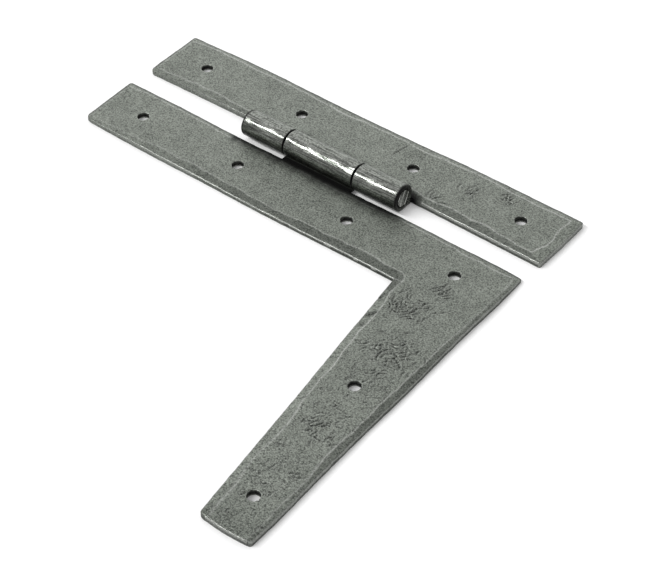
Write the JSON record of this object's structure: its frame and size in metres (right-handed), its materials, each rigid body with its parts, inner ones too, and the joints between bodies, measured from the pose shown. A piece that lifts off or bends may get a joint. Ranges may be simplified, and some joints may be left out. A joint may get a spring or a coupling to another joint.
{
  "type": "h-l hinge",
  "caption": "Forged steel surface hinge: a straight plate leaf and an L-shaped plate leaf with hammered edges, rolled round a round pin, for face-fixing a door to its frame.",
  "frame": {"origin": "middle of the straight leaf's back face, which is also the middle of its row of screw holes", "axes": "+X along the pin, +Y across the straight leaf away from the pin, +Z out of the front faces; the hinge lies open on its back"},
  "size_m": [0.2306, 0.2307, 0.0134],
  "materials": {
    "leaf_steel": "hammered mild steel with a burnished pewter patina",
    "pin_steel": "plain round bar with rough cut ends, dark patina"
  },
  "bodies": {
    "fixed_side": {"straight_leaf": "leaf_steel", "hinge_pin": "pin_steel"},
    "door_side": {"l_leaf": "leaf_steel"}
  },
  "joints": [
    {"name": "leaf_swing", "type": "hinge", "parent": "fixed_side", "child": "door_side", "pos_m": [0, -0.0235, 0.0071], "axis": [-1, 0, 0], "range_deg": [0, 180]}
  ]
}
